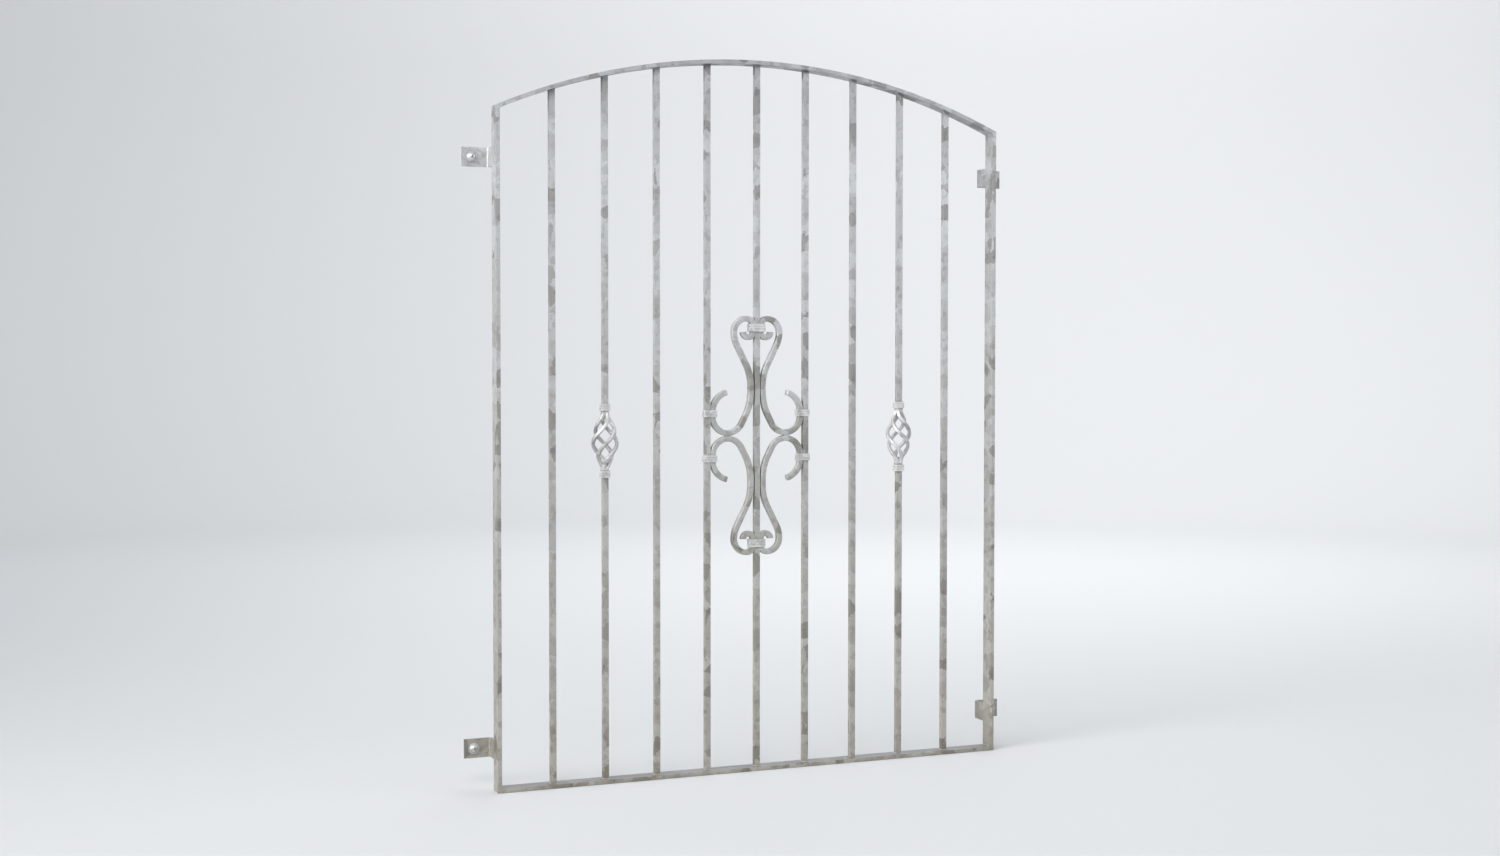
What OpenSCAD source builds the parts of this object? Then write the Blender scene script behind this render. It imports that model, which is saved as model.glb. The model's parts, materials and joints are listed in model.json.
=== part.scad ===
// Galvanised steel window grille with an arched head, welded from flat and square bar.
// X runs across the window, Y runs into the wall and Z is up.
// The origin is the centre of the four wall screws, on the wall's surface.

/* [Frame] */
// Overall width over the two stiles
frame_w = 1164; // [900:1:1300]
// Height of the outer corner where the arch starts
spring_h = 1407; // [1250:1:1600]
// Rise of the arch's outer edge above that corner
arch_rise = 124; // [60:1:180]
// Depth of the frame's flat bar, front to back
flat_depth = 35; // [30:1:50]
// Thickness of the frame's flat bar
flat_t = 8; // [6:0.5:12]

/* [Bars] */
// Side of the square upright bars
bar_w = 12; // [10:0.5:14]
// Distance from one upright bar to the next
bar_pitch = 115; // [100:1:125]

/* [Scrolls] */
// Height of the scroll group's middle above the frame's underside
scroll_mid_h = 726.5; // [640:0.5:800]
// Width of the scroll bar, seen from the front
strap_w = 12; // [8:0.5:13]
// Depth of the scroll bar, front to back
strap_depth = 12; // [8:0.5:14]
// Gap between the upper and the lower scroll where they are welded
mid_weld_gap = 0.4; // [0:0.1:2]
// Gap between scroll and middle bar at the waist
waist_gap = 2; // [1:0.5:6]
// Height of the waist's lower end above the middle of the group
waist_low = 94; // [88:0.5:110]
// Length of the waist that runs straight
waist_run = 14; // [4:0.5:24]
// Centreline radius below the waist
belly_r = 110; // [95:1:125]
// Lean of the scroll bar away from upright, below the waist
belly_lean = 28; // [26:0.5:30]
// Centreline radius above the waist
neck_r = 100; // [80:1:120]
// Lean of the scroll bar above the waist
neck_lean = 27; // [24:0.5:30]
// Straight run between the waist and the heart
neck_run = 47.8; // [40:0.1:56]
// Centreline radius on the outer flank of the heart
flank_r = 60; // [45:1:75]
// Centreline radius where the heart turns down into its collar
dip_r = 15; // [14:0.5:18]
// Centreline radius of the small hook inside the heart
hook_r = 11.5; // [9:0.5:12]
// Length of bar that runs on below the heart collar before it turns into the hook
hook_drop = 1; // [0.5:0.1:3]
// Depth to which a scroll is let in behind the middle bar's side face
let_in = 3.2; // [2:0.1:4]
// Straight run of the big curl through its side collar
side_run = 10; // [8:0.5:16]
// Centreline radius of the big curl above its side collar
curl_r = 43; // [36:1:48]
// Angle through which the curl's free end turns
curl_turn = 76; // [60:1:88]

/* [Collars] */
// Height of the two collars on the hearts
heart_collar_h = 17; // [14:0.5:18]
// Height of the four collars that hold scrolls to side bars
side_collar_h = 15; // [12:0.5:16]
// Height of the four collars that end the baskets
basket_collar_h = 14.5; // [12:0.5:18]
// Wall of the heart and side collars
collar_wall = 2.2; // [1.6:0.1:3]
// Wall of the basket collars
basket_collar_wall = 3.5; // [2.5:0.1:4.5]
// Depth of the two grooves around each collar
groove_depth = 0.7; // [0.3:0.1:1]
// Height of each groove
groove_h = 1.4; // [0.8:0.1:2]
// Play of the heart and side collars on what they hold
collar_play = 0.3; // [0.2:0.1:0.6]

/* [Baskets] */
// Height of the baskets' middle above the frame's underside
basket_mid_h = 720; // [660:1:800]
// Length of a basket between its two collars
basket_len = 126; // [110:1:150]
// Widest radius, to the outside of the strands
basket_r = 29; // [22:0.5:32]
// Side of each of the four square strands
strand_w = 7.5; // [5:0.1:8]
// Length of the solid neck at each end of a basket
neck_len = 9; // [6:0.5:14]
// Width of that neck, where the four strands lie side by side
neck_w = 15; // [12:0.5:17]
// Number of turns that a strand makes from end to end
basket_turns = 0.75; // [0.5:0.25:1.5]

/* [Wall lugs] */
// Height of the flat strip that a lug is bent from
lug_h = 40; // [30:1:50]
// Thickness of the lug strip
lug_t = 5; // [4:0.5:6]
// Inner bend radius of a lug
lug_bend_r = 4; // [3:0.5:8]
// Distance from the wall to the back of the frame
stand_off = 44; // [35:1:70]
// Length of the lug's leg on the wall, from the frame's outer face
lug_reach = 52; // [46:1:70]
// Distance from the lug's outer end to its screw
screw_from_end = 20; // [16:0.5:24]
// Height of the lower lugs' middle above the frame's underside
lug_low_h = 82; // [60:1:140]
// Distance from the corner where the arch starts down to the upper lugs' middle
lug_below_spring = 100; // [60:1:160]

/* [Screws] */
// Diameter of the screw's plain shank in the lug's hole
shank_d = 8; // [6:0.5:10]
// Diameter of the screw's thread behind the wall's surface
thread_d = 7; // [5:0.5:9.5]
// Play of the shank in the lug's hole, on the diameter
hole_play = 1; // [0.5:0.1:2]
// Diameter of the domed head
head_d = 19; // [14:0.5:22]
// Height of the domed head
head_h = 6.5; // [4:0.5:8]
// Diameter of the socket in the head
socket_d = 5; // [4:0.5:6]
// Depth of the socket in the head
socket_depth = 3; // [2:0.1:3.5]
// Diameter of the washer
washer_d = 24; // [20:0.5:28]
// Thickness of the washer
washer_t = 1.6; // [1:0.1:2.5]
// Length of the screw that stands behind the wall's surface
screw_embed = 50; // [40:1:80]
// Length of the screw's point
point_len = 7; // [4:0.5:10]

/* [Hidden] */
$fn = 72;

// Colours of the zinc: weathered bar, newer collars and screws
zinc = [0.72, 0.73, 0.71];
pale_zinc = [0.86, 0.87, 0.86];
screw_zinc = [0.78, 0.79, 0.80];

// One overrun serves every cut
over = 1;
// Facets of the two arch cylinders
arch_facets = 360;
// Part of a collar's grip that lies above the curve's start
grip_share = 0.267;
// Distance of each groove from the collar's middle, as a part of its height
groove_share = 0.167;

// Places of the frame
half_w = frame_w / 2;
lug_high_h = spring_h - lug_below_spring;
inner_half_w = half_w - flat_t;
base_z = -(lug_low_h + lug_high_h) / 2;
front_y = -stand_off - flat_depth;
back_y = -stand_off;
bar_y = (front_y + back_y) / 2;
arch_r = (half_w * half_w + arch_rise * arch_rise) / (2 * arch_rise);
arch_z = base_z + spring_h + arch_rise - arch_r;

// Places of the lugs and screws
lug_end_x = half_w + lug_reach;
screw_x = lug_end_x - screw_from_end;
bend_out_r = lug_bend_r + lug_t;
bend_x = inner_half_w + bend_out_r;
lug_low_z = base_z + lug_low_h;
lug_high_z = base_z + lug_high_h;
hole_d = shank_d + hole_play;
washer_face_y = -lug_t - washer_t;
dome_r = (head_d * head_d / 4 + head_h * head_h) / (2 * head_h);

// Places of the scroll group, measured from its middle, on one side of the middle bar
scroll_z = base_z + scroll_mid_h;
waist_x = bar_w / 2 + waist_gap + strap_w / 2;
curl_x = bar_pitch - bar_w / 2 - strap_w / 2;
collar_x = bar_w / 2 - let_in + strap_w / 2;
bottom_z = mid_weld_gap / 2 + strap_w / 2;

// The belly's straight run and the curl's bottom radius close the outline on the side bar
belly_dx = belly_r * (1 - cos(belly_lean));
belly_dz = belly_r * sin(belly_lean);
need_dx = curl_x - waist_x - belly_dx;
need_dz = waist_low - bottom_z - belly_dz;
bowl_r = (need_dx * cos(belly_lean) - need_dz * sin(belly_lean))
    / ((1 + cos(belly_lean)) * cos(belly_lean) - (1 - sin(belly_lean)) * sin(belly_lean));
belly_run = (need_dz - bowl_r * (1 - sin(belly_lean))) / cos(belly_lean);

// The heart's outer radius brings the bar down onto its collar
neck_x = waist_x + neck_r * (1 - cos(neck_lean)) + neck_run * sin(neck_lean);
lobe_x = neck_x + flank_r * (1 - cos(neck_lean));
lobe_r = lobe_x - collar_x - dip_r;
lobe_z = waist_low + waist_run + (neck_r + flank_r) * sin(neck_lean) + neck_run * cos(neck_lean);
dip_z = lobe_z + lobe_r - dip_r;
heart_collar_top = dip_z + dip_r * grip_share;
heart_collar_z = heart_collar_top - heart_collar_h / 2;
hook_z = heart_collar_z - heart_collar_h / 2 - hook_drop;
side_collar_z = bottom_z + bowl_r + side_run - side_collar_h / 2
    + side_collar_h * grip_share;
dip_bulge = dip_r - strap_w / 2
    - sqrt(pow(dip_r - strap_w / 2, 2) - pow(heart_collar_top - dip_z, 2));
heart_half_open = collar_x + strap_w / 2 + dip_bulge + collar_play / 2;

// Places of the baskets
basket_z = base_z + basket_mid_h;
basket_half = basket_len / 2;
basket_pitch_share = 3;
basket_x = basket_pitch_share * bar_pitch;

// A run is [kind, size, angle]: kind 0 is straight, 1 turns left and -1 turns right
function run_end(p, h, s) = s[0] == 0
    ? [p[0] + s[1] * cos(h), p[1] + s[1] * sin(h)]
    : [p[0] + s[0] * s[1] * (sin(h + s[0] * s[2]) - sin(h)),
       p[1] - s[0] * s[1] * (cos(h + s[0] * s[2]) - cos(h))];
function turn_end(h, s) = s[0] == 0 ? h : h + s[0] * s[2];
// One point about every six degrees of a turn
turn_step = 6;
function steps(s) = s[0] == 0 ? 1 : max(1, ceil(s[2] / turn_step));
function run_points(p, h, s) = [for (i = [1 : steps(s)])
    let (part = i / steps(s), cut = s[0] == 0 ? [0, s[1] * part, 0] : [s[0], s[1], s[2] * part])
    [each run_end(p, h, cut), turn_end(h, cut)]];
function walk(p, h, runs, k = 0) = k == len(runs) ? []
    : concat(run_points(p, h, runs[k]),
             walk(run_end(p, h, runs[k]), turn_end(h, runs[k]), runs, k + 1));
function backwards(list) = [for (i = [len(list) - 1 : -1 : 0]) list[i]];
function beside(path, d) = [for (p = path) [p[0] - d * sin(p[2]), p[1] + d * cos(p[2])]];

// Centreline from the waist up to the hook, and from the waist down to the free end
up_runs = [[-1, neck_r, neck_lean], [0, neck_run, 0], [1, flank_r, neck_lean],
    [1, lobe_r, 90], [1, dip_r, 90], [0, dip_z - hook_z, 0], [1, hook_r, 180]];
down_runs = [[0, waist_run, 0], [1, belly_r, belly_lean], [0, belly_run, 0],
    [1, bowl_r, 90 - belly_lean], [1, bowl_r, 90], [0, side_run, 0], [1, curl_r, curl_turn]];
waist_top = [waist_x, waist_low + waist_run];
up_path = concat([[each waist_top, 90]], walk(waist_top, 90, up_runs));
down_path = walk(waist_top, -90, down_runs);
scroll_outline = concat(
    beside(up_path, strap_w / 2),
    backwards(beside(up_path, -strap_w / 2)),
    beside(down_path, strap_w / 2),
    backwards(beside(down_path, -strap_w / 2)));

module flat_box(x0, x1, y0, y1, z0, z1) {
    translate([x0, y0, z0]) cube([x1 - x0, y1 - y0, z1 - z0]);
}

// Everything below the arch's underside
module under_arch() {
    translate([0, front_y - over, arch_z]) rotate([-90, 0, 0])
        cylinder(r = arch_r - flat_t, h = flat_depth + 2 * over, $fn = arch_facets);
}

module stile() {
    color(zinc) intersection() {
        flat_box(inner_half_w, half_w, front_y, back_y, base_z, base_z + spring_h + arch_rise);
        under_arch();
    }
}

module bottom_rail() {
    color(zinc) flat_box(-inner_half_w, inner_half_w, front_y, back_y, base_z, base_z + flat_t);
}

module arch_head() {
    color(zinc) intersection() {
        translate([0, front_y, arch_z]) rotate([-90, 0, 0]) difference() {
            cylinder(r = arch_r, h = flat_depth, $fn = arch_facets);
            translate([0, 0, -over])
                cylinder(r = arch_r - flat_t, h = flat_depth + 2 * over, $fn = arch_facets);
        }
        flat_box(-half_w, half_w, front_y - over, back_y + over,
            base_z + spring_h / 2, base_z + spring_h + arch_rise + over);
    }
}

// An upright bar at x, from z0 up to the arch
module bar_to_arch(x, z0) {
    color(zinc) intersection() {
        flat_box(x - bar_w / 2, x + bar_w / 2, bar_y - bar_w / 2, bar_y + bar_w / 2,
            z0, base_z + spring_h + arch_rise);
        under_arch();
    }
}

module full_bar(place) {
    bar_to_arch(place * bar_pitch, base_z + flat_t);
}

module lower_bar(x) {
    color(zinc) flat_box(x - bar_w / 2, x + bar_w / 2, bar_y - bar_w / 2, bar_y + bar_w / 2,
        base_z + flat_t, basket_z - basket_half);
}

// One scroll, above the middle and to the right of the middle bar
module scroll() {
    color(zinc) difference() {
        translate([0, bar_y + strap_depth / 2, 0]) rotate([90, 0, 0])
            linear_extrude(strap_depth) polygon(scroll_outline);
        flat_box(-bar_w, bar_w / 2, bar_y - bar_w, bar_y + bar_w, 0, lobe_z + lobe_r + bar_w);
    }
}

module place_scroll(side, level) {
    translate([0, 0, scroll_z]) mirror([side < 0 ? 1 : 0, 0, 0])
        mirror([0, 0, level < 0 ? 1 : 0]) scroll();
}

// A box collar round what lies from x0 to x1, with two grooves all round
module collar(x0, x1, wall, high) {
    half_d = max(bar_w, strap_depth) / 2 + collar_play / 2;
    color(pale_zinc) difference() {
        flat_box(x0 - wall, x1 + wall, -half_d - wall, half_d + wall, -high / 2, high / 2);
        flat_box(x0, x1, -half_d, half_d, -high / 2 - over, high / 2 + over);
        for (side = [-1, 1]) translate([0, 0, side * high * groove_share - groove_h / 2]) difference() {
            flat_box(x0 - wall - over, x1 + wall + over,
                -half_d - wall - over, half_d + wall + over, 0, groove_h);
            flat_box(x0 - wall + groove_depth, x1 + wall - groove_depth,
                -half_d - wall + groove_depth, half_d + wall - groove_depth,
                -over, groove_h + over);
        }
    }
}

module heart_collar(level) {
    translate([0, bar_y, scroll_z + level * heart_collar_z])
        collar(-heart_half_open, heart_half_open, collar_wall, heart_collar_h);
}

module side_collar(side, level) {
    translate([0, bar_y, scroll_z + level * side_collar_z]) mirror([side < 0 ? 1 : 0, 0, 0])
        collar(curl_x - strap_w / 2 - collar_play, bar_pitch + bar_w / 2 + collar_play / 2,
            collar_wall, side_collar_h);
}

// The basket collars close on the joint between bar and basket neck
module basket_collar(side, level) {
    translate([side * basket_x, bar_y, basket_z + level * (basket_half + basket_collar_h / 2)])
        collar(-bar_w / 2, bar_w / 2, basket_collar_wall, basket_collar_h);
}

// Strand geometry: share runs from 0 at the bottom to 1 at the top
strand_rings = 40;
corners = 8;
strand_in_share = 0.6;
core_share = 1.15;
swell_share = 1.2;
chamfer_share = 0.28;
end_share = 0.02;
probe_share = 0.0125;
strand_r0 = strand_w * strand_in_share;
core_w = strand_w * core_share;
strand_span = basket_len - neck_len;
function strand_r(share) = strand_r0
    + (basket_r - strand_w / 2 - strand_r0) * pow(sin(180 * share), swell_share);
function strand_centre(share, start) =
    let (a = start + 360 * basket_turns * share)
    [strand_r(share) * cos(a), strand_r(share) * sin(a), share * strand_span - strand_span / 2];
function unit(v) = v / norm(v);
function strand_ring(share, start) =
    let (a = start + 360 * basket_turns * share,
         t = unit(strand_centre(share + probe_share, start)
             - strand_centre(share - probe_share, start)),
         side = unit(cross(t, [cos(a), sin(a), 0])),
         out = cross(side, t),
         flat = strand_w / 2,
         cut = strand_w / 2 * (1 - chamfer_share))
    [for (c = [[flat, cut], [cut, flat], [-cut, flat], [-flat, cut],
               [-flat, -cut], [-cut, -flat], [cut, -flat], [flat, -cut]])
        strand_centre(share, start) + c[0] * out + c[1] * side];

module strand(start) {
    polyhedron(
        points = [for (i = [0 : strand_rings]) each strand_ring(
            end_share + (1 - 2 * end_share) * i / strand_rings, start)],
        faces = concat(
            [[for (k = [0 : corners - 1]) k]],
            [for (i = [0 : strand_rings - 1]) for (k = [0 : corners - 1])
                for (half = [0, 1]) half == 0
                    ? [i * corners + k, (i + 1) * corners + (k + 1) % corners,
                       i * corners + (k + 1) % corners]
                    : [i * corners + k, (i + 1) * corners + k,
                       (i + 1) * corners + (k + 1) % corners]],
            [[for (k = [corners - 1 : -1 : 0]) strand_rings * corners + k]]));
}

module basket(side) {
    translate([side * basket_x, bar_y, basket_z]) mirror([side > 0 ? 1 : 0, 0, 0])
        color(pale_zinc) union() {
            for (k = [0 : 3]) strand(45 + 90 * k);
            for (level = [-1, 1]) {
                translate([0, 0, level * (basket_half - neck_len / 2)])
                    cube([neck_w, neck_w, neck_len], center = true);
                translate([0, 0, level * (basket_half - neck_len)])
                    cube([core_w, core_w, 2 * neck_len], center = true);
            }
        }
}

// One lug, at the right side of the frame, with its middle at z = 0
module lug() {
    color(zinc) difference() {
        translate([0, 0, -lug_h / 2]) linear_extrude(lug_h) union() {
            translate([inner_half_w, -stand_off]) square([lug_t, stand_off - bend_out_r]);
            translate([bend_x, -lug_t]) square([lug_end_x - bend_x, lug_t]);
            intersection() {
                translate([bend_x, -bend_out_r]) difference() {
                    circle(bend_out_r);
                    circle(lug_bend_r);
                }
                translate([inner_half_w, -bend_out_r]) square(bend_out_r);
            }
        }
        translate([screw_x, over, 0]) rotate([90, 0, 0])
            cylinder(d = hole_d, h = lug_t + 2 * over);
    }
}

module washer() {
    color(pale_zinc) translate([screw_x, -lug_t, 0]) rotate([90, 0, 0]) difference() {
        cylinder(d = washer_d, h = washer_t);
        translate([0, 0, -over]) cylinder(d = hole_d, h = washer_t + 2 * over);
    }
}

// A screw along its own axis: domed head with a socket, plain shank, thread and point
module screw() {
    color(screw_zinc) translate([screw_x, washer_face_y, 0]) rotate([90, 0, 0]) difference() {
        union() {
            intersection() {
                translate([0, 0, head_h - dome_r]) sphere(dome_r);
                cylinder(d = head_d, h = head_h);
            }
            translate([0, 0, washer_face_y]) cylinder(d = shank_d, h = -washer_face_y);
            translate([0, 0, washer_face_y - screw_embed + point_len])
                cylinder(d = thread_d, h = screw_embed - point_len + over);
            translate([0, 0, washer_face_y - screw_embed])
                cylinder(d1 = 0, d2 = thread_d, h = point_len);
        }
        translate([0, 0, head_h - socket_depth])
            cylinder(d = socket_d, h = socket_depth + over);
    }
}

module at_corner(side, level) {
    translate([0, 0, level < 0 ? lug_low_z : lug_high_z]) mirror([side < 0 ? 1 : 0, 0, 0])
        children();
}

mirror([1, 0, 0]) stile();  // stile_left
stile();  // stile_right
bottom_rail();
arch_head();
full_bar(-4);  // bar_1
lower_bar(-basket_x);  // bar_2_lower
bar_to_arch(-basket_x, basket_z + basket_half);  // bar_2_upper
full_bar(-2);  // bar_3
full_bar(-1);  // bar_4
full_bar(0);  // bar_5
full_bar(1);  // bar_6
full_bar(2);  // bar_7
lower_bar(basket_x);  // bar_8_lower
bar_to_arch(basket_x, basket_z + basket_half);  // bar_8_upper
full_bar(4);  // bar_9
basket(-1);  // basket_left
basket(1);  // basket_right
place_scroll(-1, 1);  // scroll_upper_left
place_scroll(1, 1);  // scroll_upper_right
place_scroll(-1, -1);  // scroll_lower_left
place_scroll(1, -1);  // scroll_lower_right
heart_collar(1);  // heart_collar_upper
heart_collar(-1);  // heart_collar_lower
side_collar(-1, 1);  // side_collar_upper_left
side_collar(1, 1);  // side_collar_upper_right
side_collar(-1, -1);  // side_collar_lower_left
side_collar(1, -1);  // side_collar_lower_right
basket_collar(-1, 1);  // basket_collar_left_top
basket_collar(-1, -1);  // basket_collar_left_bottom
basket_collar(1, 1);  // basket_collar_right_top
basket_collar(1, -1);  // basket_collar_right_bottom
at_corner(-1, 1) lug();  // lug_upper_left
at_corner(1, 1) lug();  // lug_upper_right
at_corner(-1, -1) lug();  // lug_lower_left
at_corner(1, -1) lug();  // lug_lower_right
at_corner(-1, 1) washer();  // washer_upper_left
at_corner(1, 1) washer();  // washer_upper_right
at_corner(-1, -1) washer();  // washer_lower_left
at_corner(1, -1) washer();  // washer_lower_right
at_corner(-1, 1) screw();  // screw_upper_left
at_corner(1, 1) screw();  // screw_upper_right
at_corner(-1, -1) screw();  // screw_lower_left
at_corner(1, -1) screw();  // screw_lower_right
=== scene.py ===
import json
import math
import random

import bmesh
import bpy
from mathutils import Matrix, Vector


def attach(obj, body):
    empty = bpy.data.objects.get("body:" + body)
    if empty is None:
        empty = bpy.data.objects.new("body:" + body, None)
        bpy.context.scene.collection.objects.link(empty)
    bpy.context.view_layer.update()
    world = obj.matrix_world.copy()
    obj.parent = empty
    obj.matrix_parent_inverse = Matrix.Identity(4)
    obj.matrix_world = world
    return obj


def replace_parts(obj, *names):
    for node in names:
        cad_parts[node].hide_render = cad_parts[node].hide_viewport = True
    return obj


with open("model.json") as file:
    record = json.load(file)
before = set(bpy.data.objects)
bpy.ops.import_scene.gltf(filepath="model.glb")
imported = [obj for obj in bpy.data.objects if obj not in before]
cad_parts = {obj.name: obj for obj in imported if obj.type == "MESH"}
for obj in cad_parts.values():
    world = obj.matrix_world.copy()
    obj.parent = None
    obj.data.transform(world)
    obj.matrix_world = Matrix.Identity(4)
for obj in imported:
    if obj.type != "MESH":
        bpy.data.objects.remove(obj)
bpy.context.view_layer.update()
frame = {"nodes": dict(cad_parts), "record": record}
nodes = frame["nodes"]
MM = 0.001

# Main sizes in millimetres, as in the part's source
HALF_W = 582.0
FLAT_T = 8.0
INNER_W = HALF_W - FLAT_T
BASE_Z = -694.5
SPRING_H = 1407.0
RISE = 124.0
FRONT_Y = -79.0
BACK_Y = -44.0
BAR_Y = -61.5
BAR_W = 12.0
PITCH = 115.0
BARS_A_SIDE = 4
ARCH_R = (HALF_W**2 + RISE**2) / (2 * RISE)
ARCH_Z = BASE_Z + SPRING_H + RISE - ARCH_R
SCROLL_Z = BASE_Z + 726.5
BASKET_X = 3 * PITCH
BASKET_Z = BASE_Z + 720.0
LUG_Z = 612.5
LUG_H = 40.0
LUG_T = 5.0
SCREW_X = 614.0


def arch_under(x):
    return ARCH_Z + math.sqrt((ARCH_R - FLAT_T) ** 2 - x * x)


# Materials


def make_material(name):
    mat = bpy.data.materials.new(name)
    mat.use_nodes = True
    tree = mat.node_tree
    tree.nodes.clear()
    out = tree.nodes.new("ShaderNodeOutputMaterial")
    bsdf = tree.nodes.new("ShaderNodeBsdfPrincipled")
    tree.links.new(bsdf.outputs["BSDF"], out.inputs["Surface"])
    return mat, tree, bsdf


def add_noise(tree, vector, scale, detail, roughness, output="Fac"):
    noise = tree.nodes.new("ShaderNodeTexNoise")
    noise.inputs["Scale"].default_value = scale
    noise.inputs["Detail"].default_value = detail
    noise.inputs["Roughness"].default_value = roughness
    tree.links.new(vector, noise.inputs["Vector"])
    return noise.outputs[output]


def add_ramp(tree, value, stops):
    ramp = tree.nodes.new("ShaderNodeValToRGB")
    ramp.color_ramp.interpolation = "LINEAR"
    elements = ramp.color_ramp.elements
    while len(elements) < len(stops):
        elements.new(0.5)
    for element, (place, colour) in zip(elements, stops):
        element.position = place
        element.color = (*colour, 1.0)
    tree.links.new(value, ramp.inputs["Fac"])
    return ramp.outputs["Color"]


def add_mix(tree, kind, factor, first, second):
    mix = tree.nodes.new("ShaderNodeMix")
    mix.data_type = "RGBA"
    mix.blend_type = kind
    colour_sockets = [s for s in mix.inputs if s.type == "RGBA"]
    factor_socket = mix.inputs[0]
    if isinstance(factor, (int, float)):
        factor_socket.default_value = factor
    else:
        tree.links.new(factor, factor_socket)
    for socket, value in zip(colour_sockets, (first, second)):
        if isinstance(value, tuple):
            socket.default_value = (*value, 1.0)
        else:
            tree.links.new(value, socket)
    return [s for s in mix.outputs if s.type == "RGBA"][0]


def add_range(tree, value, low, high, out_low, out_high):
    node = tree.nodes.new("ShaderNodeMapRange")
    node.inputs["From Min"].default_value = low
    node.inputs["From Max"].default_value = high
    node.inputs["To Min"].default_value = out_low
    node.inputs["To Max"].default_value = out_high
    tree.links.new(value, node.inputs["Value"])
    return node.outputs["Result"]


# The zinc's surface. Scales, except the relief's, are multiples of the patches' own scale, mixes and
# stops are shares, and heights and reaches are in metres.
WAVE_SCALE, WAVE_DETAIL, WAVE_ROUGHNESS = 2.2, 4.0, 0.65
PATCH_STOPS = (0.0, 0.10, 0.24, 0.62, 0.78, 1.0)
PATCH_BEND = 0.5
GRAIN_SCALE, GRAIN_BEND, GRAIN_SHIFT, GRAIN_MIX = 3.1, 0.16, 0.37, 0.75
GRAIN_STOPS = [(0.0, (0.70, 0.69, 0.67)), (0.3, (0.91, 0.91, 0.91)), (0.5, (1.0, 1.0, 1.0))]
SPECK_SCALE, SPECK_DETAIL, SPECK_ROUGHNESS = 9.0, 2.0, 0.5
SPECK_FROM, SPECK_TO, SPECK_MIX = 0.62, 0.70, 0.6
TINT_LOW_Z, TINT_HIGH_Z = -0.7, 0.85
LOW_TINT, BAR_TINT, ARCH_TINT = (0.715, 0.67, 0.585), (0.975, 0.99, 1.0), (0.80, 0.81, 0.82)
TINT_STOPS = [(0.0, LOW_TINT), (0.77, BAR_TINT), (0.86, BAR_TINT), (0.93, ARCH_TINT), (1.0, ARCH_TINT)]
TOP_DARK_FROM, TOP_DARK_TO = 0.85, 0.98
TOP_DARK_COLOUR = (0.23, 0.225, 0.23)
# Painted shade: an ambient-occlusion mask darkens the colour where pieces meet
PAINTED_SHADE_REACH, PAINTED_SHADE_SAMPLES = 0.006, 4
PAINTED_SHADE_FROM, PAINTED_SHADE_TO, PAINTED_SHADE_MIX = 0.3, 0.8, 0.55
PAINTED_SHADE_COLOUR = (0.10, 0.095, 0.085)
DULLER, SHINIER = 0.1, 0.08
RELIEF_SCALE, RELIEF_DETAIL, RELIEF_ROUGHNESS, RELIEF_HEIGHT = 420.0, 3.0, 0.6, 0.0006


def add_patches(tree, vector, scale, bend, seed_shift):
    """A random value for each crisp-edged irregular patch."""
    wave = add_noise(tree, vector, scale * WAVE_SCALE, WAVE_DETAIL, WAVE_ROUGHNESS, "Color")
    centred = tree.nodes.new("ShaderNodeVectorMath")
    centred.operation = "MULTIPLY_ADD"
    centred.inputs[1].default_value = (bend, bend, bend)
    tree.links.new(wave, centred.inputs[0])
    tree.links.new(vector, centred.inputs[2])
    moved = tree.nodes.new("ShaderNodeVectorMath")
    moved.operation = "ADD"
    moved.inputs[1].default_value = (seed_shift, seed_shift * 2, seed_shift * 3)
    tree.links.new(centred.outputs["Vector"], moved.inputs[0])
    cells = tree.nodes.new("ShaderNodeTexVoronoi")
    cells.inputs["Scale"].default_value = scale
    tree.links.new(moved.outputs["Vector"], cells.inputs["Vector"])
    parts = tree.nodes.new("ShaderNodeSeparateColor")
    tree.links.new(cells.outputs["Color"], parts.inputs["Color"])
    return parts.outputs["Red"]


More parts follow.
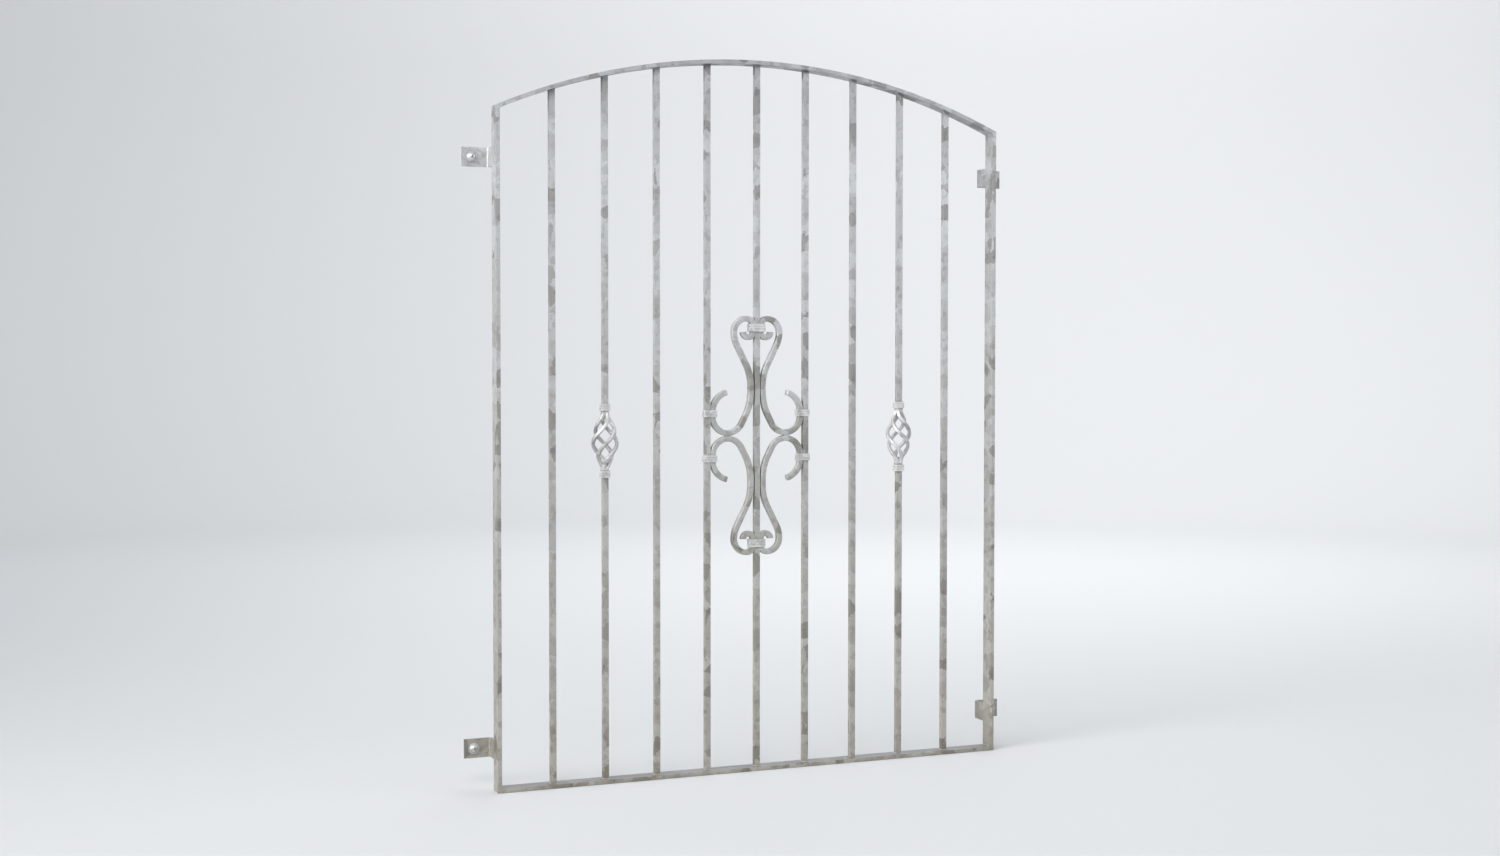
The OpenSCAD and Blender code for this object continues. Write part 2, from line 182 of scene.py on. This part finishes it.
def zinc_material(name, dark, middle, light, metallic, rough, patch, bump, fade=1.0, top_dark_share=0.2):
    """Galvanised steel: crisp irregular patches in two sizes, small specks, and painted shade in the
    corners.
    """
    mat, tree, bsdf = make_material(name)
    coords = tree.nodes.new("ShaderNodeTexCoord").outputs["Object"]
    split = tree.nodes.new("ShaderNodeSeparateXYZ")
    tree.links.new(coords, split.inputs["Vector"])

    broad = add_patches(tree, coords, patch, PATCH_BEND / patch, 0.0)
    colour = add_ramp(tree, broad, list(zip(PATCH_STOPS, (dark, dark, middle, middle, light, light))))
    small = add_patches(tree, coords, patch * GRAIN_SCALE, GRAIN_BEND / patch, GRAIN_SHIFT)
    grain = add_ramp(tree, small, GRAIN_STOPS)
    colour = add_mix(tree, "MULTIPLY", GRAIN_MIX, colour, grain)

    specks = add_noise(tree, coords, patch * SPECK_SCALE, SPECK_DETAIL, SPECK_ROUGHNESS)
    speck_share = add_range(tree, specks, SPECK_FROM, SPECK_TO, 0.0, SPECK_MIX)
    colour = add_mix(tree, "MIX", speck_share, colour, dark)

    # Warmer and duller towards the bottom rail, greyer on the arch
    height = add_range(tree, split.outputs["Z"], TINT_LOW_Z, TINT_HIGH_Z, 0.0, 1.0)
    tint = add_ramp(tree, height, TINT_STOPS)
    colour = add_mix(tree, "MULTIPLY", fade, colour, tint)

    # Darker colour on faces turned up, such as the rail's top
    facing = tree.nodes.new("ShaderNodeSeparateXYZ")
    geometry = tree.nodes.new("ShaderNodeNewGeometry")
    tree.links.new(geometry.outputs["True Normal"], facing.inputs["Vector"])
    top_dark = add_range(tree, facing.outputs["Z"], TOP_DARK_FROM, TOP_DARK_TO, 0.0, top_dark_share)
    colour = add_mix(tree, "MIX", top_dark, colour, TOP_DARK_COLOUR)

    # Painted shade where pieces meet: an ambient-occlusion mask darkens the colour in corners and joints
    hollow = tree.nodes.new("ShaderNodeAmbientOcclusion")
    hollow.samples = PAINTED_SHADE_SAMPLES
    hollow.inputs["Distance"].default_value = PAINTED_SHADE_REACH
    painted_shade = add_range(tree, hollow.outputs["AO"], PAINTED_SHADE_FROM, PAINTED_SHADE_TO, PAINTED_SHADE_MIX, 0.0)
    colour = add_mix(tree, "MIX", painted_shade, colour, PAINTED_SHADE_COLOUR)
    tree.links.new(colour, bsdf.inputs["Base Color"])

    shine = add_range(tree, broad, 0.0, 1.0, rough + DULLER, rough - SHINIER)
    tree.links.new(shine, bsdf.inputs["Roughness"])
    bsdf.inputs["Metallic"].default_value = metallic

    fine = add_noise(tree, coords, RELIEF_SCALE, RELIEF_DETAIL, RELIEF_ROUGHNESS)
    relief = tree.nodes.new("ShaderNodeBump")
    relief.inputs["Strength"].default_value = bump
    relief.inputs["Distance"].default_value = RELIEF_HEIGHT
    tree.links.new(fine, relief.inputs["Height"])
    tree.links.new(relief.outputs["Normal"], bsdf.inputs["Normal"])
    return mat


bar_zinc = zinc_material(
    "bar_zinc",
    dark=(0.295, 0.29, 0.275),
    middle=(0.445, 0.445, 0.44),
    light=(0.53, 0.535, 0.54),
    metallic=0.42,
    rough=0.48,
    patch=30.0,
    bump=0.25,
    top_dark_share=0.85,
)
basket_zinc = zinc_material(
    "basket_zinc",
    dark=(0.38, 0.38, 0.375),
    middle=(0.51, 0.51, 0.51),
    light=(0.60, 0.605, 0.61),
    metallic=0.45,
    rough=0.47,
    patch=40.0,
    bump=0.12,
    fade=0.4,
)
collar_zinc = zinc_material(
    "collar_zinc",
    dark=(0.47, 0.47, 0.46),
    middle=(0.57, 0.575, 0.57),
    light=(0.64, 0.64, 0.635),
    metallic=0.25,
    rough=0.48,
    patch=60.0,
    bump=0.15,
    fade=0.3,
)
weld_zinc = zinc_material(
    "weld_zinc",
    dark=(0.36, 0.355, 0.34),
    middle=(0.53, 0.53, 0.52),
    light=(0.66, 0.66, 0.65),
    metallic=0.4,
    rough=0.42,
    patch=120.0,
    bump=0.4,
    fade=0.6,
)
screw_zinc = zinc_material(
    "screw_zinc",
    dark=(0.50, 0.51, 0.52),
    middle=(0.60, 0.61, 0.62),
    light=(0.68, 0.69, 0.70),
    metallic=0.8,
    rough=0.36,
    patch=90.0,
    bump=0.06,
    fade=0.2,
)
BY_SLOT = {
    "bar_zinc": bar_zinc,
    "basket_zinc": basket_zinc,
    "collar_zinc": collar_zinc,
    "screw_zinc": screw_zinc,
}


# Meshes


def make_piece(name, verts, faces, mat, slot, smooth=35.0):
    """A new piece with its corners given in millimetres in the row frame."""
    mesh = bpy.data.meshes.new(name)
    mesh.from_pydata([tuple(c * MM for c in v) for v in verts], [], faces)
    work = bmesh.new()
    work.from_mesh(mesh)
    bmesh.ops.recalc_face_normals(work, faces=work.faces)
    work.to_mesh(mesh)
    work.free()
    mesh.shade_smooth()
    mesh.set_sharp_from_angle(angle=math.radians(smooth))
    mesh.materials.append(mat)
    obj = bpy.data.objects.new(name, mesh)
    bpy.context.scene.collection.objects.link(obj)
    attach(obj, "root")
    return obj


def tube(rings, closed=False):
    """Corners and faces of a skin over equal rings, with its ends capped unless it closes on itself."""
    n = len(rings[0])
    verts = [p for ring in rings for p in ring]
    faces = []
    last = len(rings) if closed else len(rings) - 1
    for i in range(last):
        a = i * n
        b = (i + 1) % len(rings) * n
        for k in range(n):
            m = (k + 1) % n
            faces.append((a + k, a + m, b + m, b + k))
    if not closed:
        faces.append(tuple(range(n)))
        faces.append(tuple(len(verts) - n + k for k in range(n)))
    return verts, faces


def joined(parts):
    verts = []
    faces = []
    for part_verts, part_faces in parts:
        shift = len(verts)
        verts += part_verts
        faces += [tuple(i + shift for i in f) for f in part_faces]
    return verts, faces


def rounded_square(width, depth, radius, per_corner=3):
    """Profile points (across, deep) of a bar with rounded edges, in order round it."""
    points = []
    for sx, sy, start in ((1, 1, 0), (-1, 1, 90), (-1, -1, 180), (1, -1, 270)):
        cx = sx * (width / 2 - radius)
        cy = sy * (depth / 2 - radius)
        for k in range(per_corner + 1):
            a = math.radians(start + 90 * k / per_corner)
            points.append((cx + radius * math.cos(a), cy + radius * math.sin(a)))
    return points


# Scrolls: the same chain of arcs as in the part's source, with finer steps

WAIST_X = 14.0
CURL_X = PITCH - BAR_W
COLLAR_X = 8.8
BOTTOM_Z = 6.2
BELLY_R, BELLY_LEAN = 110.0, 28.0
NECK_R, NECK_LEAN, NECK_RUN = 100.0, 27.0, 47.8
FLANK_R, DIP_R, HOOK_R = 60.0, 15.0, 11.5
WAIST_LOW, WAIST_RUN = 94.0, 14.0
SIDE_RUN, CURL_R, CURL_TURN = 10.0, 43.0, 76.0
GRIP_SHARE = 0.267
HEART_H, HOOK_DROP = 17.0, 1.0
ARC_STEP, RUN_STEP = 2.5, 6.0
BAR_EDGE_R = 1.3
END_EASE, END_SHARE = 0.8, 0.88


def cos_d(a):
    return math.cos(math.radians(a))


def sin_d(a):
    return math.sin(math.radians(a))


def walk(place, heading, runs):
    """Points along a chain of runs; a run is (kind, size, angle) with kind 0 straight, 1 left, -1 right."""
    points = []
    x, z = place
    for kind, size, angle in runs:
        count = math.ceil(size / RUN_STEP) if kind == 0 else math.ceil(angle / ARC_STEP)
        for i in range(1, count + 1):
            part = i / count
            if kind == 0:
                points.append((x + size * part * cos_d(heading), z + size * part * sin_d(heading)))
            else:
                turned = heading + kind * angle * part
                points.append(
                    (
                        x + kind * size * (sin_d(turned) - sin_d(heading)),
                        z - kind * size * (cos_d(turned) - cos_d(heading)),
                    )
                )
        x, z = points[-1]
        heading += kind * angle
    return points


def scroll_path():
    need_x = CURL_X - WAIST_X - BELLY_R * (1 - cos_d(BELLY_LEAN))
    need_z = WAIST_LOW - BOTTOM_Z - BELLY_R * sin_d(BELLY_LEAN)
    c, s = cos_d(BELLY_LEAN), sin_d(BELLY_LEAN)
    bowl_r = (need_x * c - need_z * s) / ((1 + c) * c - (1 - s) * s)
    belly_run = (need_z - bowl_r * (1 - s)) / c
    neck_x = WAIST_X + NECK_R * (1 - cos_d(NECK_LEAN)) + NECK_RUN * sin_d(NECK_LEAN)
    lobe_r = neck_x + FLANK_R * (1 - cos_d(NECK_LEAN)) - COLLAR_X - DIP_R
    lobe_z = WAIST_LOW + WAIST_RUN + (NECK_R + FLANK_R) * sin_d(NECK_LEAN)
    lobe_z += NECK_RUN * cos_d(NECK_LEAN)
    dip_z = lobe_z + lobe_r - DIP_R
    hook_z = dip_z + DIP_R * GRIP_SHARE - HEART_H - HOOK_DROP
    up = [(-1, NECK_R, NECK_LEAN), (0, NECK_RUN, 0), (1, FLANK_R, NECK_LEAN), (1, lobe_r, 90)]
    up += [(1, DIP_R, 90), (0, dip_z - hook_z, 0), (1, HOOK_R, 180)]
    down = [(0, WAIST_RUN, 0), (1, BELLY_R, BELLY_LEAN), (0, belly_run, 0)]
    down += [(1, bowl_r, 90 - BELLY_LEAN), (1, bowl_r, 90), (0, SIDE_RUN, 0), (1, CURL_R, CURL_TURN)]
    top = (WAIST_X, WAIST_LOW + WAIST_RUN)
    return walk(top, 90, up)[::-1] + [top] + walk(top, -90, down)


def eased_ends(path):
    """Extra points just inside the two ends, for the small bevel of a sawn end."""

    def along(a, b):
        length = math.dist(a, b)
        return tuple(p + (q - p) * END_EASE / length for p, q in zip(a, b))

    return [path[0], along(path[0], path[1])] + path[1:-1] + [along(path[-1], path[-2]), path[-1]]


def scroll_rings(side, level):
    path = eased_ends(scroll_path())
    profile = rounded_square(BAR_W, BAR_W, BAR_EDGE_R)
    rings = []
    for i, (x, z) in enumerate(path):
        a = path[max(i - 1, 0)]
        b = path[min(i + 1, len(path) - 1)]
        length = math.dist(a, b)
        nx, nz = -(b[1] - a[1]) / length, (b[0] - a[0]) / length
        small = END_SHARE if i in (0, len(path) - 1) else 1.0
        ring = []
        for across, deep in profile:
            px = max(x + nx * across * small, BAR_W / 2)
            pz = z + nz * across * small
            ring.append((side * px, BAR_Y + deep * small, SCROLL_Z + level * pz))
        rings.append(ring)
    return rings


for level, level_name in ((1, "upper"), (-1, "lower")):
    for side, side_name in ((-1, "left"), (1, "right")):
        node = f"scroll_{level_name}_{side_name}"
        verts, faces = tube(scroll_rings(side, level))
        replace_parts(make_piece(f"{node}_bar", verts, faces, bar_zinc, "bar_zinc"), node)


# Baskets

BASKET_R = 29.0
BASKET_LEN = 126.0
STRAND_W = 7.5
NECK_LEN = 9.0
NECK_W = 15.0
TURNS = 0.75
SWELL = 1.2
STRAND_IN_SHARE = 0.6
STRAND_R0 = STRAND_W * STRAND_IN_SHARE
STRAND_EDGE_R = 1.9
STRAND_STEPS = 84
STRAND_END_SHARE = 0.01
FIRST_STRAND = 45
# Distance down from the basket's end, and the neck's width there
NECK_STEPS = ((0.0, 14.2), (0.8, NECK_W), (7.5, NECK_W), (9.5, 12.5), (14.0, 9.0), (17.0, 5.5))
NECK_EDGE_SHARE = 0.1


def strand_rings(side, start):
    end = STRAND_END_SHARE
    reach = BASKET_R - STRAND_W / 2 - STRAND_R0
    span = BASKET_LEN - NECK_LEN

    def centre(share):
        r = STRAND_R0 + reach * max(sin_d(180 * share), 0.0) ** SWELL
        a = start + 360 * TURNS * share
        return Vector((r * cos_d(a), r * sin_d(a), (share - 0.5) * span))

    profile = rounded_square(STRAND_W, STRAND_W, STRAND_EDGE_R)
    rings = []
    for i in range(STRAND_STEPS + 1):
        share = end + (1 - 2 * end) * i / STRAND_STEPS
        a = start + 360 * TURNS * share
        along = (centre(share + end / 2) - centre(share - end / 2)).normalized()
        across = along.cross(Vector((cos_d(a), sin_d(a), 0))).normalized()
        out = across.cross(along)
        ring = []
        for p, q in profile:
            v = centre(share) + p * out + q * across
            ring.append((side * (BASKET_X - v.x), BAR_Y + v.y, BASKET_Z + v.z))
        rings.append(ring)
    return rings


def neck_rings(side, level):
    """The square neck under a collar, which narrows as it splits into the strands."""
    rings = []
    for down, size in NECK_STEPS:
        z = BASKET_Z + level * (BASKET_LEN / 2 - down)
        profile = rounded_square(size, size, size * NECK_EDGE_SHARE, per_corner=2)
        rings.append([(side * BASKET_X + p, BAR_Y + q, z) for p, q in profile])
    return rings


for side, side_name in ((-1, "left"), (1, "right")):
    parts = [tube(strand_rings(side, FIRST_STRAND + 90 * k)) for k in range(4)]
    parts += [tube(neck_rings(side, level)) for level in (-1, 1)]
    verts, faces = joined(parts)
    piece = make_piece(f"basket_{side_name}_strands", verts, faces, basket_zinc, "basket_zinc")
    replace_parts(piece, f"basket_{side_name}")


# Screws through the lugs, with a domed socket head and a threaded shank

HEAD_D, HEAD_H = 19.0, 6.5
SOCKET_D, SOCKET_DEPTH, SOCKET_SIDES = 5.0, 3.0, 6
SHANK_D, THREAD_D, WASHER_FACE, SCREW_EMBED, POINT_LEN = 8.0, 7.0, -6.6, 50.0, 7.0
THREAD_PITCH, THREAD_DEPTH, THREAD_START = 2.6, 0.8, 3.0
SCREW_SIDES, DOME_STEPS, THREAD_STEPS = 36, 14, 160
TINY_R = 0.01


def round_ring(radius, out):
    angles = [360 * k / SCREW_SIDES for k in range(SCREW_SIDES)]
    return [(radius * cos_d(a), radius * sin_d(a), out) for a in angles]


def screw_rings():
    """Rings of (x, y, out) about the screw's axis, from the socket's floor over the head to the point."""
    dome_r = (HEAD_D**2 / 4 + HEAD_H**2) / (2 * HEAD_H)
    socket_r = SOCKET_D / 2
    floor = SOCKET_DEPTH - HEAD_H
    rings = [round_ring(TINY_R, floor)]

    # The socket's sides and rim
    half = 180 / SOCKET_SIDES
    for out in (floor, dome_r - HEAD_H - math.sqrt(dome_r**2 - socket_r**2)):
        ring = []
        for k in range(SCREW_SIDES):
            a = 360 * k / SCREW_SIDES
            r = socket_r * cos_d(half) / cos_d(a % (2 * half) - half)
            ring.append((r * cos_d(a), r * sin_d(a), out))
        rings.append(ring)

    for i in range(1, DOME_STEPS):
        r = socket_r + (HEAD_D / 2 - socket_r) * i / DOME_STEPS
        rings.append(round_ring(r, dome_r - HEAD_H - math.sqrt(dome_r**2 - r * r)))
    rings += [round_ring(HEAD_D / 2, 0.0), round_ring(SHANK_D / 2, 0.0)]
    plain = -WASHER_FACE
    rings += [round_ring(SHANK_D / 2, plain), round_ring(THREAD_D / 2, plain)]

    for i in range(1, THREAD_STEPS + 1):
        down = SCREW_EMBED * i / THREAD_STEPS
        taper = min(1.0, (SCREW_EMBED - down) / POINT_LEN)
        ring = []
        for k in range(SCREW_SIDES):
            a = 360 * k / SCREW_SIDES
            phase = (down / THREAD_PITCH + k / SCREW_SIDES) % 1.0
            cut = THREAD_DEPTH * abs(2 * phase - 1) * min(1.0, down / THREAD_START)
            r = max((THREAD_D / 2 - cut) * taper, 2 * TINY_R)
            ring.append((r * cos_d(a), r * sin_d(a), plain + down))
        rings.append(ring)
    return rings


SCREW_RINGS = screw_rings()
for level, level_name in ((1, "upper"), (-1, "lower")):
    for side, side_name in ((-1, "left"), (1, "right")):
        rings = []
        for ring in SCREW_RINGS:
            moved = [(side * SCREW_X + x, WASHER_FACE + out, level * LUG_Z + z) for x, z, out in ring]
            rings.append(moved)
        node = f"screw_{level_name}_{side_name}"
        verts, faces = tube(rings)
        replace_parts(make_piece(f"{node}_turned", verts, faces, screw_zinc, "screw_zinc"), node)


# CAD nodes that stay: materials and softened edges, by the first word of a node's name

EDGE_MM = {
    "bar": 0.9,
    "stile": 0.9,
    "bottom": 0.9,
    "arch": 0.9,
    "heart": 0.5,
    "side": 0.5,
    "basket": 0.5,
    "lug": 0.7,
    "washer": 0.35,
}
EDGE_STEPS, EDGE_ANGLE = 3, 40.0
slot_of = {sub["node"]: sub["material_slot"] for sub in frame["record"]["subparts"]}
for name, obj in nodes.items():
    kind = name.split("_")[0]
    if kind not in EDGE_MM or name in ("basket_left", "basket_right"):
        continue
    mat = BY_SLOT[slot_of[name]]
    if obj.material_slots:
        for place in obj.material_slots:
            place.material = mat
    else:
        obj.data.materials.append(mat)
    soft = obj.modifiers.new("soft_edges", "BEVEL")
    soft.width = EDGE_MM[kind] * MM
    soft.segments = EDGE_STEPS
    soft.limit_method = "ANGLE"
    soft.angle_limit = math.radians(EDGE_ANGLE)
    soft.use_clamp_overlap = True


# Weld beads: radii and places in millimetres

SMOOTH_ANGLE = 60.0
BEAD_SIDES, BEAD_SQUASH = 8, 0.75
BEAD_WAVE, BEAD_WAVE_TURN, BEAD_JITTER, BEAD_TAIL = 0.22, 1.9, 0.14, 0.35
# Any direction that no bead runs along
ASIDE = Vector((0.31, 0.57, 0.76))
LOOP_STEP = 1.6
BEAD_STEPS, LUG_END_STEPS, DRIP_STEPS, CURL_STEPS = 18, 6, 9, 8
SINK = 0.2
FOOT_R, FOOT_HALF = 1.9, 6.4
HEAD_R, HEAD_HALF, HEAD_BACK = 1.5, 5.6, 1.2
CORNER_R, CORNER_FRONT, CORNER_BACK = 2.4, 5.0, 1.5
LUG_R, LUG_END_R, LUG_BACK, LUG_INSET = 1.9, 1.3, 0.4, 2.0
LUG_IN, LUG_OUT = 0.8, 0.8
# Low end, high end and radius of each lump of zinc on the right stile
DRIPS = ((-640.0, -622.0, 1.3), (-618.0, -597.0, 1.8), (-592.0, -583.0, 1.4))
DRIP_IN, DRIP_LEAN, DRIP_BACK_LOW, DRIP_BACK_HIGH = 1.2, 0.8, 0.6, 0.4
CURL_WELD_X, CURL_WELD_HALF, CURL_WELD_R = (63.5, 72.5), 4.6, 1.0
BEAD_SEED = 31
rng = random.Random(BEAD_SEED)


def bead(path, radius, closed):
    """A lumpy weld along a path of (x, y, z) in millimetres."""
    rings = []
    count = len(path)
    for i, p in enumerate(path):
        before = Vector(path[i - 1] if closed or i else path[0])
        after = Vector(path[(i + 1) % count] if closed or i < count - 1 else path[-1])
        along = (after - before).normalized()
        first = along.cross(ASIDE).normalized()
        second = along.cross(first)
        jitter = rng.uniform(-BEAD_JITTER, BEAD_JITTER)
        swell = radius * (1 + BEAD_WAVE * math.sin(i * BEAD_WAVE_TURN) + jitter)
        if not closed and i in (0, count - 1):
            swell *= BEAD_TAIL
        ring = []
        for k in range(BEAD_SIDES):
            a = 360 * k / BEAD_SIDES
            out = first * cos_d(a) + second * sin_d(a) * BEAD_SQUASH
            ring.append(tuple(Vector(p) + out * swell))
        rings.append(ring)
    return tube(rings, closed)


def square_loop(cx, cy, half, height):
    """Points round a square bar, with the height a function of x."""
    points = []
    per_side = round(2 * half / LOOP_STEP)
    for sx, sy, dx, dy in ((-1, -1, 1, 0), (1, -1, 0, 1), (1, 1, -1, 0), (-1, 1, 0, -1)):
        for i in range(per_side):
            x = cx + sx * half + dx * 2 * half * i / per_side
            y = cy + sy * half + dy * 2 * half * i / per_side
            points.append((x, y, height(x)))
    return points


def straight(a, b, count=BEAD_STEPS):
    return [tuple(p + (q - p) * i / count for p, q in zip(a, b)) for i in range(count + 1)]


def rail_top(_):
    return BASE_Z + FLAT_T + SINK


def arch_seam(x):
    return arch_under(x) - SINK


def make_weld(name, parts):
    make_piece(name, *joined(parts), weld_zinc, "bar_zinc", SMOOTH_ANGLE)


foot_parts = []
head_parts = []
for place in range(-BARS_A_SIDE, BARS_A_SIDE + 1):
    x = place * PITCH
    foot_parts.append(bead(square_loop(x, BAR_Y, FOOT_HALF, rail_top), FOOT_R, True))
    head_parts.append(bead(square_loop(x, BAR_Y + HEAD_BACK, HEAD_HALF, arch_seam), HEAD_R, True))
make_weld("weld_bar_feet", foot_parts)
make_weld("weld_bar_heads", head_parts)

corner_parts = []
lug_parts = []
for side in (-1, 1):
    inner = side * INNER_W
    for z in (BASE_Z + FLAT_T, arch_under(INNER_W)):
        ends = (inner, FRONT_Y + CORNER_FRONT, z), (inner, BACK_Y - CORNER_BACK, z)
        corner_parts.append(bead(straight(*ends), CORNER_R, False))
    for level in (-1, 1):
        low, high = level * LUG_Z - LUG_H / 2, level * LUG_Z + LUG_H / 2
        outer = side * (INNER_W + LUG_T + SINK)
        y = BACK_Y + LUG_BACK
        ends = (outer, y, low + LUG_INSET), (outer, y, high - LUG_INSET)
        lug_parts.append(bead(straight(*ends), LUG_R, False))
        for z in (low, high):
            ends = (side * (INNER_W + LUG_IN), y, z), (outer - side * LUG_OUT, y, z)
            lug_parts.append(bead(straight(*ends, LUG_END_STEPS), LUG_END_R, False))
make_weld("weld_frame_corners", corner_parts)
make_weld("weld_lugs", lug_parts)

# Lumps of zinc on the right stile's front edge beside its lower lug
drip_parts = []
for low, high, radius in DRIPS:
    x = INNER_W + DRIP_IN
    ends = (x, FRONT_Y + DRIP_BACK_LOW, low), (x + DRIP_LEAN, FRONT_Y + DRIP_BACK_HIGH, high)
    drip_parts.append(bead(straight(*ends, DRIP_STEPS), radius, False))
make_weld("weld_drips", drip_parts)

curl_parts = []
for side in (-1, 1):
    for x in CURL_WELD_X:
        ends = [(side * x, BAR_Y + turned * CURL_WELD_HALF, SCROLL_Z) for turned in (-1, 1)]
        curl_parts.append(bead(straight(*ends, CURL_STEPS), CURL_WELD_R, False))
make_weld("weld_curls", curl_parts)


# Stage: pale floor that curves up into a backdrop, in metres

FLOOR_GAP, CENTRE_R = 0.0005, 0.0001
FLAT_R, BEND_R, RIM_H = 6.5, 3.0, 1.0
BEND_STEPS, STAGE_SIDES = 18, 96
STAGE_COLOUR = (0.53, 0.535, 0.54, 1.0)
STAGE_ROUGHNESS = 0.85


def stage_material():
    mat, tree, bsdf = make_material("stage_pale")
    bsdf.inputs["Base Color"].default_value = STAGE_COLOUR
    bsdf.inputs["Roughness"].default_value = STAGE_ROUGHNESS
    return mat


def make_stage():
    """A round pale floor whose rim curves up all round, so that every view looks alike."""
    floor_z = BASE_Z * MM - FLOOR_GAP
    profile = [(CENTRE_R, floor_z), (FLAT_R, floor_z)]
    for i in range(1, BEND_STEPS + 1):
        a = 90 * i / BEND_STEPS
        profile.append((FLAT_R + BEND_R * sin_d(a), floor_z + BEND_R * (1 - cos_d(a))))
    profile.append((FLAT_R + BEND_R, floor_z + BEND_R + RIM_H))
    angles = [360 * k / STAGE_SIDES for k in range(STAGE_SIDES)]
    rings = [[(radius * cos_d(a), radius * sin_d(a), z) for a in angles] for radius, z in profile]
    verts = [point for ring in rings for point in ring]
    faces = []
    for i in range(len(profile) - 1):
        low, high = i * STAGE_SIDES, (i + 1) * STAGE_SIDES
        for k in range(STAGE_SIDES):
            m = (k + 1) % STAGE_SIDES
            faces.append((low + k, low + m, high + m, high + k))
    mesh = bpy.data.meshes.new("stage_floor")
    mesh.from_pydata(verts, [], faces)
    mesh.shade_smooth()
    mesh.materials.append(stage_material())
    obj = bpy.data.objects.new("stage_floor", mesh)
    bpy.context.scene.collection.objects.link(obj)


make_stage()


# Light: places and sizes in metres, power in watts, spread in degrees

WHITE = (1.0, 1.0, 1.0)
SKY_COLOUR, SKY_STRENGTH = (0.80, 0.83, 0.87, 1.0), 1.0


def area_light(name, place, target, size, power, colour=WHITE, spread=180.0):
    data = bpy.data.lights.new(name, "AREA")
    data.shape = "RECTANGLE"
    data.size = size[0]
    data.size_y = size[1]
    data.energy = power
    data.color = colour
    data.spread = math.radians(spread)
    obj = bpy.data.objects.new(name, data)
    obj.location = place
    obj.rotation_euler = (Vector(target) - Vector(place)).to_track_quat("-Z", "Y").to_euler()
    bpy.context.scene.collection.objects.link(obj)


area_light(
    "key",
    place=(-2.6, -3.7, 3.1),
    target=(0, 0, 0.1),
    size=(2.4, 2.4),
    power=120.0,
    colour=(1.0, 0.995, 0.98),
)
area_light(
    "fill",
    place=(3.8, -3.4, 1.8),
    target=(0, 0, 0),
    size=(2.4, 2.4),
    power=45.0,
    colour=(0.95, 0.975, 1.0),
)
area_light("side", place=(-5.2, -1.6, 1.9), target=(0, 0, 0.1), size=(3.6, 3.6), power=44.0, spread=50.0)
area_light("back", place=(1.5, 2.2, 3.0), target=(0, 0, 0.2), size=(2.4, 1.2), power=40.0)
area_light("wall_wash", place=(2.6, 3.0, 4.6), target=(4.6, 9.0, 0.8), size=(3.0, 3.0), power=330.0)

world = bpy.data.worlds.new("studio")
bpy.context.scene.world = world
world.use_nodes = True
sky = next(n for n in world.node_tree.nodes if n.type == "BACKGROUND")
sky.inputs["Color"].default_value = SKY_COLOUR
sky.inputs["Strength"].default_value = SKY_STRENGTH


# Camera at the photo's place, from a fit to the bars' edges: metres, degrees and millimetres of lens

CAMERA = Vector((-1.6253, -3.8808, 0.1786))
YAW, TILT, ROLL = 22.86, -1.80, 0.03
LENS, SENSOR = 46.04, 36.0
forward = Vector((sin_d(YAW) * cos_d(TILT), cos_d(YAW) * cos_d(TILT), sin_d(TILT)))
right = Vector((cos_d(YAW), -sin_d(YAW), 0))
up = right.cross(forward)
right_rolled = right * cos_d(ROLL) + up * sin_d(ROLL)
up_rolled = up * cos_d(ROLL) - right * sin_d(ROLL)
camera_data = bpy.data.cameras.new("camera")
camera_data.lens = LENS
camera_data.sensor_width = SENSOR
camera = bpy.data.objects.new("camera", camera_data)
turn = Matrix((right_rolled, up_rolled, -forward)).transposed()
camera.matrix_world = Matrix.Translation(CAMERA) @ turn.to_4x4()
bpy.context.scene.collection.objects.link(camera)
bpy.context.scene.camera = camera
bpy.context.scene.view_settings.view_transform = "Standard"
